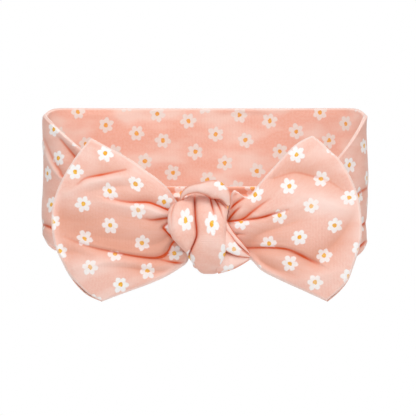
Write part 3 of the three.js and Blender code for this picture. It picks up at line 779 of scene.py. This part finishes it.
def coonsPatch(bottom, top, near, far, u, v):
    # Fills four edge lines with a surface: the two ways of ruling between opposite edges are added and
    # the ruling between the corners is taken off. u and v are the lines' own shares of their length.
    u, v = u[:, None, None], v[None, :, None]
    ruledUp = bottom[:, None] * (1 - v) + top[:, None] * v
    ruledOut = near[None, :] * (1 - u) + far[None, :] * u
    corners = (bottom[0] * (1 - u) + bottom[-1] * u) * (1 - v) + (top[0] * (1 - u) + top[-1] * u) * v
    return ruledUp + ruledOut - corners


def respace(line, shares):
    # the line's places at these shares of its length
    step = np.linspace(0, 1, len(line))
    return np.stack([np.interp(shares, step, line[:, k]) for k in range(line.shape[1])], -1)


def tailPanel(shape, isFront):
    # A patch between the tail's edges in the front view, pillowed out from its middle surface, rolled
    # in to the seam as a quarter circle, and sunk along its folds.
    s = np.linspace(0, 1, tails["lengthRows"])
    t = np.linspace(0, 1, tails["heightRows"])
    u = 1 - (1 - s) ** 1.35
    v = 0.6 * t + 0.4 * (0.5 - 0.5 * np.cos(np.pi * t))
    top, bottom = (respace(smoothLine(shape[key], 400), u) for key in ("top", "bottom"))
    outer = respace(smoothLine(shape["outer"], 400)[::-1], v)
    near = bottom[:1] * (1 - v[:, None]) + top[:1] * v[:, None]
    flat = coonsPatch(bottom, top, near, outer, u, v)
    x, z = flat[..., 0], flat[..., 1]
    height = np.linalg.norm(top - bottom, axis=1)[:, None]
    u2, v2 = u[:, None] + 0 * x, v[None, :] + 0 * x
    edge = np.minimum(np.minimum(v2, 1 - v2) * height, (1 - u2) * shape["reach"] * 1.05)
    beyond = np.clip((np.abs(x) - abs(shape["bendX"])) / shape["reach"], 0, 1)
    middle = tailY + tails["curl"] * (beyond ** 2 + 0.3 * beyond * (2 * v2 - 1) ** 4)
    full = np.sqrt(np.clip(1 - (2 * v2 - 1) ** 2, 0, 1)) * (1 - beyond ** 3) * np.sqrt(1 - u2 ** 6)
    bulge = tails["frontBulge"] if isFront else tails["backBulge"]
    stand = (cloth["loft"] + cloth["panel"]) * quarterRound(edge, cloth["seamRadius"]) + bulge * full
    folds, creaseShade, hollow, paintedHighlight = foldRelief(x, z, shape["folds"])
    offEdge = eased(edge, 0.3, 3.6)
    way = -1 if isFront else 1
    share = 1 if isFront else 0.3
    deepest = 0.85 * stand + 0.9  # a crease may not reach the other panel
    folds = np.where(folds > 0, deepest * np.tanh(folds / deepest), folds)
    y = middle + way * (stand - share * folds * offEdge)
    if not isFront:
        gathers = np.sin(v2 * 30 + 1) * (1 - eased(np.abs(x), 16, 44)) * 0.5
        y = y + gathers * offEdge
        # along the lower outer edge the back panel's cloth rolls out a little past the front one
        peekX, peekZ = tails["peekAt"]
        apart = (x - shape["side"] * peekX) ** 2 + (z - peekZ) ** 2
        peek = np.exp(-apart / tails["peekSpread"]) * (1 - eased(edge, 0, 4))
        x = x + shape["side"] * tails["peek"] * peek
        z = z - tails["peek"] * peek
    # painted light: crease and slope shade from the folds, weak on the back panel, painted shade along the
    # back panel's edges, and a painted highlight along the seam edge and over ridges
    shades = {
        "creaseShade": creaseShade * offEdge * (1 if isFront else 0.15),
        "hollow": np.maximum(hollow * offEdge * (1 if isFront else 0.3), 0 if isFront else 0.6 * (edge < 2)),
        "paintedHighlight": np.maximum(1 - eased(edge, 0.3, 1.2), paintedHighlight * offEdge) * (1 if isFront else 0.3),
    }
    where = tuckedPlace(x, z, shape["tucks"])
    grid = np.stack([x, y, z], -1)
    knit = np.stack([x, v2 * tails["knitHeight"]], -1)
    return grid, where, knit, shades


def tuckedPlace(x, z, tucks):
    # where each place lies on the print: above a tuck the cloth is further on than it looks
    lifted = np.zeros(np.shape(x))
    for points, hidden, strength in tucks:
        signed, along = besideLine(x, z, smoothLine(points, 7 * len(points)))
        lifted += hidden * np.interp(along, (0, 0.5, 1), strength) * eased(signed, -0.3, 0.5)
    return np.stack([x, z + lifted], -1)


def makeTail(shape, jersey, thread):
    print(shape["name"], "tail: front and back panel, seam thread")
    name = shape["name"]
    daisy = tuckedPlace(*np.array(shape["daisy"], float), shape["tucks"])
    for isFront in (True, False):
        grid, where, knit, shades = tailPanel(shape, isFront)
        inside = (shape["side"] * tails["amid"][0], tailY, tails["amid"][1])
        label = "Front" if isFront else "Back"
        at = daisy + (0 if isFront else 5)
        daisies = daisyGrid(where, 7, at, shape["printTurn"], shape["printSpread"])
        piece = sheetPiece(name + "Tail" + label + "Panel", grid, inside, jersey,
                           {"knit": knit, "where": where, "daisies": daisies}, shades)
        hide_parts(name + "_tail_" + label.lower() + "_panel")
        if isFront:
            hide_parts(name + "_tail_root")
        pieces = [piece]
        if isFront:
            line = np.vstack([grid[::4, 0], grid[-1, 4::4], grid[-5::-4, -1]])
            seam = threadAlong(name + "TailSeamThread", line, thread)
            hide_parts(name + "_tail_seam_thread")
            pieces.append(seam)
        for piece in pieces:
            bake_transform(piece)


# ---- the knot ----

knot = {
    "outerDepth": 15.0, "outerHeight": 21.0, "strand": 5.0, "endAngle": 116,
    "left": [(-116, -5), (-90, -4), (-77, -3.6), (-59, -6.4), (-47.5, -8), (-31.6, -10.2), (-19.5, -14),
             (-8, -17), (5.5, -18.7), (22, -19.4), (42, -19.1), (50, -18), (55, -15.4),
             (62, -12), (90, -9), (116, -8.5)],
    "right": [(-116, 8), (-72, 8.6), (-54, 9.7), (-35, 10.8), (-17, 11.4), (0, 11), (28, 11.3),
              (42, 12), (60, 11), (90, 9.5), (116, 8.5)],
    "daisies": [(-10, -21), (3.5, -23), (10.5, -40), (-8.5, -43), (-2, -62), (-26, -30), (22, -6), (-8, 14),
                (8, 14)],
    "daisyStretch": (0.88, 1.5),
    "course": 1.05, "courseHeight": 0.05,
    "smoothAt": (4, -34), "smoothHalf": 9,  # where the courses show most
    "edgeRound": 4.2, "ringRadius": 18.5,
    "rows": 380, "outerCount": 150, "innerCount": 26,
    "folds": [
        ([(-5.4, -5), (-5.2, -13), (-4.8, -20), (-4.2, -28), (-5, -32), (-7, -37), (-9, -44)],
         3.0, 0.62, 0.62, (0.9, 1, 0.7)),
        ([(-5.2, -5), (-4.8, -20), (-4.2, -28), (-9, -44)], 0.8, 2.6, 2.6, (0.8, 1, 0.8)),
        ([(2.4, -7), (3.9, -14), (5.2, -20)], 1.8, 0.75, 0.75, (1, 0.8, 0)),
        ([(5.2, -9), (7.8, -15), (9.8, -21)], 1.5, 0.65, 0.65, (1, 0.6, 0)),
        ([(-15.4, -11), (-17.4, -18), (-17, -26)], 0.7, 0.6, 0.6, (1, 0.8, 0.1)),
        # along the collar's lower edge: a shallow fold whose crease line is the collar's painted shadow
        ([(-12.6, -8.2), (-9.5, -7.2), (-5.9, -6.8), (-1.5, -7.2), (2.5, -8.6), (6.9, -10.7), (10.8, -13.6)],
         0.9, 1.0, 0.5, (1, 1, 0.8)),
        ([(-11, -10), (-12.4, -20), (-11, -32)], 0.3, 1.5, 1.5, (0.6, 1, 0.2)),
        ([(3, -30), (2, -38), (3.5, -47)], 0.35, 2.2, 2.2, (0.1, 1, 0.6)),
        ([(-14, -27), (-12, -36), (-8, -42)], 0.5, 2.5, 2.5, (0.3, 1, 1)),
    ],
}


def ringPlace(angle, x, depth):
    # a place `depth` below the outer surface of the oval ring round the knot's middle
    t = np.radians(angle)
    y = ringY - (knot["outerDepth"] - depth) * np.cos(t)
    z = ringZ + (knot["outerHeight"] - depth) * np.sin(t)
    return np.stack([x + 0 * t, y, z], -1)


def softened(line):
    # the same line with its corners rounded off by a bell-shaped average
    bell = np.exp(-np.linspace(-2, 2, 13) ** 2)
    bell = bell / bell.sum()
    return np.convolve(np.pad(line[:, 0], 6, mode="edge"), bell, mode="valid")[:, None]


def settle(piece, *nodes):
    # what every piece of the knot shares: it is printed jersey and rides with the knot
    if nodes:
        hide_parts(*nodes)
    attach(piece, "root")


def makeWrap(jersey):
    # Rows run over the ring from behind the top to behind the bottom. Round each row the section is a
    # rounded bar: its outer half is sunk along the folds, and its inner half is plain.
    print("knot: wrap")
    rows, outerCount, innerCount = knot["rows"], knot["outerCount"], knot["innerCount"]
    angle = np.linspace(knot["endAngle"], -knot["endAngle"], rows)[:, None]
    left = softened(np.interp(angle, *zip(*knot["left"])))
    right = softened(np.interp(angle, *zip(*knot["right"])))
    even = np.linspace(0, 1, outerCount)[None, :]
    q = 0.5 * even + 0.5 * (0.5 - 0.5 * np.cos(np.pi * even))
    x = left + (right - left) * q
    fromEdge = np.minimum(q, 1 - q) * (right - left)
    base = knot["strand"] * (1 - quarterRound(fromEdge, knot["edgeRound"])) * 0.8
    t = np.radians(angle)
    z = ringZ + knot["outerHeight"] * np.sin(t) + 0 * x
    seen = eased(np.cos(t), 0.05, 0.4)
    folds, creaseShade, hollow, paintedHighlight = foldRelief(x, z, knot["folds"])
    offEdge = eased(fromEdge, 0.2, 1.5)
    arc = knot["ringRadius"] * t
    smoothX, smoothZ = knot["smoothAt"]
    away = np.hypot((x - smoothX) / knot["smoothHalf"], (z - smoothZ) / knot["smoothHalf"])
    patch = eased(-away, -1.1, -0.6)
    courses = knot["courseHeight"] * np.sin(arc * 2 * np.pi / knot["course"]) * (0.25 + 0.75 * patch)
    outer = ringPlace(angle, x, base + folds * seen * offEdge + courses * seen)
    qIn = np.linspace(1, 0, innerCount + 2)[None, 1:-1]
    xIn = left + (right - left) * qIn
    inner = ringPlace(angle, xIn, knot["strand"] - 0.3 + 0 * xIn)
    grid = np.concatenate([outer, inner], axis=1)
    allX = np.concatenate([x, xIn], axis=1)
    knit = np.stack([allX, arc + 0 * allX], -1)
    where = np.stack([allX, np.concatenate([z, z[:, :innerCount]], axis=1)], -1)
    blank = np.zeros((rows, innerCount))
    # painted shade: darker towards the bottom, on the parts that face away from the front, and all over the
    # plain inner half; painted highlight over ridges
    lower = eased(-z, 38, 50) * 0.3
    shaded = np.maximum(np.maximum(hollow * seen, lower), 0.25 * (1 - seen))
    shades = {
        "creaseShade": np.concatenate([creaseShade * seen * offEdge, blank], axis=1),
        "hollow": np.concatenate([shaded, blank + 1], axis=1),
        "paintedHighlight": np.concatenate([paintedHighlight * seen, blank], axis=1),
    }
    cover = {"knit": knit, "where": where, "daisies": knot["daisies"], "stretch": knot["daisyStretch"]}
    piece = strandPiece("knotWrap", grid, jersey, cover, shades)
    settle(piece, "knot_wrap")


def sweptStrand(name, path, halfWidth, halfDepth, jersey, daisies, flankShade):
    # A flattened strand of gathered cloth along a path of (x, y, z). Its section is a soft oval, wide in
    # the front view and shallow in depth. The last argument is how much painted shade its two sides get.
    rows, around = 140, 72
    line = smoothLine(path, rows)
    tangent = np.gradient(line, axis=0)
    tangent /= np.linalg.norm(tangent, axis=1)[:, None]
    side = np.cross(tangent, (0, -1.0, 0))
    side /= np.linalg.norm(side, axis=1)[:, None]
    out = np.cross(side, tangent)
    s = np.linspace(0, 1, rows)
    wide = smoothLine([(k, w) for k, w in enumerate(halfWidth)], rows)[:, 1:]
    deep = smoothLine([(k, w) for k, w in enumerate(halfDepth)], rows)[:, 1:]
    turn = np.linspace(0, 2 * np.pi, around, endpoint=False)[None, :] + 0 * s[:, None]
    across = np.sign(np.cos(turn)) * np.abs(np.cos(turn)) ** 0.9
    proud = np.sign(np.sin(turn)) * np.abs(np.sin(turn)) ** 0.8
    grid = (line[:, None] + side[:, None] * (across * wide)[..., None]
            + out[:, None] * (proud * deep)[..., None])
    length = np.linalg.norm(np.diff(line, axis=0), axis=1).sum()
    cover = {"knit": np.stack([across * wide * 1.3 + 4, s[:, None] * length + 0 * across], -1),
             "where": grid[..., ::2], "daisies": daisies}
    # painted shade on the sides of a strand, which lie in the folds between it and its neighbours, and a
    # painted highlight along its top
    beside = np.abs(across) * wide
    flank = eased(beside - wide, -1.3, -0.3)
    shades = {"creaseShade": flankShade * eased(beside - wide, -0.55, -0.15), "hollow": 0.8 * flank,
              "paintedHighlight": 0.55 * eased(proud, 0.75, 1)}
    return strandPiece(name, grid, jersey, cover, shades)


collar = {
    "path": [(-12.4, -49.6, -10.2), (-11.4, -50.6, -8), (-9, -51.4, -5.9), (-5.5, -52, -4.7),
             (-1.5, -52.4, -4.5), (3, -52.8, -4.7), (7, -53.2, -5.9), (10.3, -53, -8.4),
             (12.3, -51.6, -13.2)],
    "halfWidth": (0.5, 1.6, 2.2, 2.5, 2.8, 3.8, 4.9, 4.3, 1.2),
    "halfDepth": (0.8, 2.5, 3.1, 3.2, 3.2, 3.4, 3.3, 2.6, 0.9),
    "daisies": [(9, -2), (-40, -30)], "flankShade": 0.35,
}


def makeCollar(jersey):
    print("knot: collar")
    piece = sweptStrand("knotCollar", collar["path"], collar["halfWidth"], collar["halfDepth"], jersey,
                        collar["daisies"], collar["flankShade"])
    settle(piece, "knot_collar")


underStrands = [
    # path, half widths, half depths, daisies, how much painted shade the flanks get
    ([(8, -51.2, -19), (11.4, -51.4, -24.5), (14.8, -51.2, -29.4), (18.8, -50.8, -33.8), (23, -49.4, -38.2)],
     (1.9, 1.7, 1.5, 1.4, 0.6), (2.0, 2.0, 1.6, 1.2, 0.4), [(60, 0)], 0.9),
    ([(8, -51.6, -27.5), (11, -52.2, -32), (14.6, -52.2, -35.6), (18.6, -51.2, -38.2), (23, -49.6, -40)],
     (3.8, 4.1, 3.8, 2.6, 0.7), (2.6, 2.6, 2.2, 1.5, 0.5), [(15, -36)], 0.7),
    ([(7, -47.6, -42.6), (10, -48.8, -42.6), (13.5, -49.8, -42.6), (18, -49.8, -42), (22.8, -49, -41)],
     (6.2, 5.6, 4.5, 2.8, 0.8), (2.4, 2.6, 2.4, 1.6, 0.5), [(12.5, -48)], 0.25),
]


def makeUnderStrands(jersey):
    print("knot: under strands")
    for i, (path, wide, deep, daisies, flankShade) in enumerate(underStrands):
        piece = sweptStrand("knotUnderStrand" + "ABC"[i], path, wide, deep, jersey, daisies, flankShade)
        nodes = ["knot_under_strand"] if i == 0 else []
        settle(piece, *nodes)


backStrand = {
    "halfWidth": 6.2, "swell": 2.1, "lean": 1.2, "knitLength": 40,
    "daisies": [(-4, 8), (5, 20), (-4, 32)], "daisyStretch": (0.8, 1.3),
}


def makeBackStrand(jersey):
    # the ring's part behind the band, inside the loop
    print("knot: back strand")
    rows, around = 90, 72
    angle = np.linspace(knot["endAngle"] + 1, 360 - knot["endAngle"] - 1, rows)[:, None]
    turn = np.linspace(0, 2 * np.pi, around, endpoint=False)[None, :]
    s = np.linspace(0, 1, rows)[:, None]
    across = np.sign(np.cos(turn)) * np.abs(np.cos(turn)) ** 0.8 + 0 * s
    proud = np.sign(np.sin(turn)) * np.abs(np.sin(turn)) ** 0.8 + 0 * s
    halfWidth = backStrand["halfWidth"] + backStrand["swell"] * np.sin(np.pi * s)
    x = halfWidth * across + backStrand["lean"] * np.sin(np.pi * s)
    pleat = 0.9 * np.exp(-((across + 0.25) * 9) ** 2) + 0.6 * np.exp(-((across - 0.4) * 10) ** 2)
    pleat = pleat * (proud > 0)
    grid = ringPlace(angle + 0 * across, x, knot["strand"] / 2 * (1 - proud) + pleat)
    laid = np.stack([x, s * backStrand["knitLength"] + 0 * x], -1)
    cover = {"knit": laid, "where": laid, "daisies": backStrand["daisies"],
             "stretch": backStrand["daisyStretch"]}
    # painted shade: crease and slope shade along the pleats
    piece = strandPiece("knotBackStrand", grid, jersey, cover, {"creaseShade": pleat * 0.6, "hollow": pleat})
    settle(piece, "knot_back_strand")


core = {"reach": 0.98, "girth": 0.84, "gather": 0.07, "daisies": [(60, 60)], "shade": 0.6}


def makeCore(jersey):
    # the cloth inside the knot: an upright egg that fills the CAD core's box, but for its width
    print("knot: core")
    low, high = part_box("knot_core")
    middle, half = np.array((low + high) / 2) / mm, np.array((high - low) / 2) / mm
    rise = np.linspace(-core["reach"], core["reach"], 40)[:, None]
    turn = np.linspace(0, 2 * np.pi, 64, endpoint=False)[None, :]
    girth = np.sqrt(1 - rise ** 2) * (1 - core["gather"] * np.abs(np.sin(5 * turn + 2 * rise)))
    x = middle[0] + core["girth"] * half[0] * girth * np.cos(turn)
    y = middle[1] + half[1] * girth * np.sin(turn)
    grid = np.stack([x, y, middle[2] + half[2] * rise + 0 * girth], -1)
    cover = {"knit": grid[..., ::2], "where": grid[..., ::2], "daisies": core["daisies"]}
    piece = strandPiece("knotCore", grid, jersey, cover, {"hollow": core["shade"] + 0 * girth})
    settle(piece, "knot_core")


makeCamera()
makeStudio()
outside = {
    "ground": (0.89, 0.585, 0.50), "pale": (0.93, 0.69, 0.62), "patches": 0.6, "patchScale": 0.09,
    "ink": (0.92, 0.915, 0.91), "inkCover": 0.97,
    "gold": (0.86, 0.40, 0.03), "goldLight": (0.88, 0.62, 0.11),
    # the two colours on the next line are painted shade, down fold slopes and in crease lines; the two
    # numbers after them set a painted glow
    "hollow": (0.73, 0.31, 0.205), "creaseShade": (0.66, 0.09, 0.02),
    "through": 0.0, "throughCrease": 0.035,
}
# the lining: a darker, shaded copy of the outside cloth, with shaded ink and gold, painted sheen patches and
# a painted glow all over
inside = dict(outside, ground=(0.87, 0.51, 0.41), pale=(0.90, 0.68, 0.60), patches=0.8, patchScale=0.06,
              through=0.035, ink=(0.83, 0.76, 0.72), inkCover=0.85,
              gold=(0.84, 0.36, 0.07), goldLight=(0.85, 0.48, 0.14))
jersey = jerseyMaterial("printedJersey", outside)
shadedLiningJersey = jerseyMaterial("printedJerseyInsideShaded", inside)
thread = threadMaterial()
for piece in makeBand(jersey, shadedLiningJersey, thread):
    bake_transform(piece)
makeTail(leftTail, jersey, thread)
makeTail(rightTail, jersey, thread)
makeWrap(jersey)
makeCollar(jersey)
makeUnderStrands(jersey)
makeBackStrand(jersey)
makeCore(jersey)
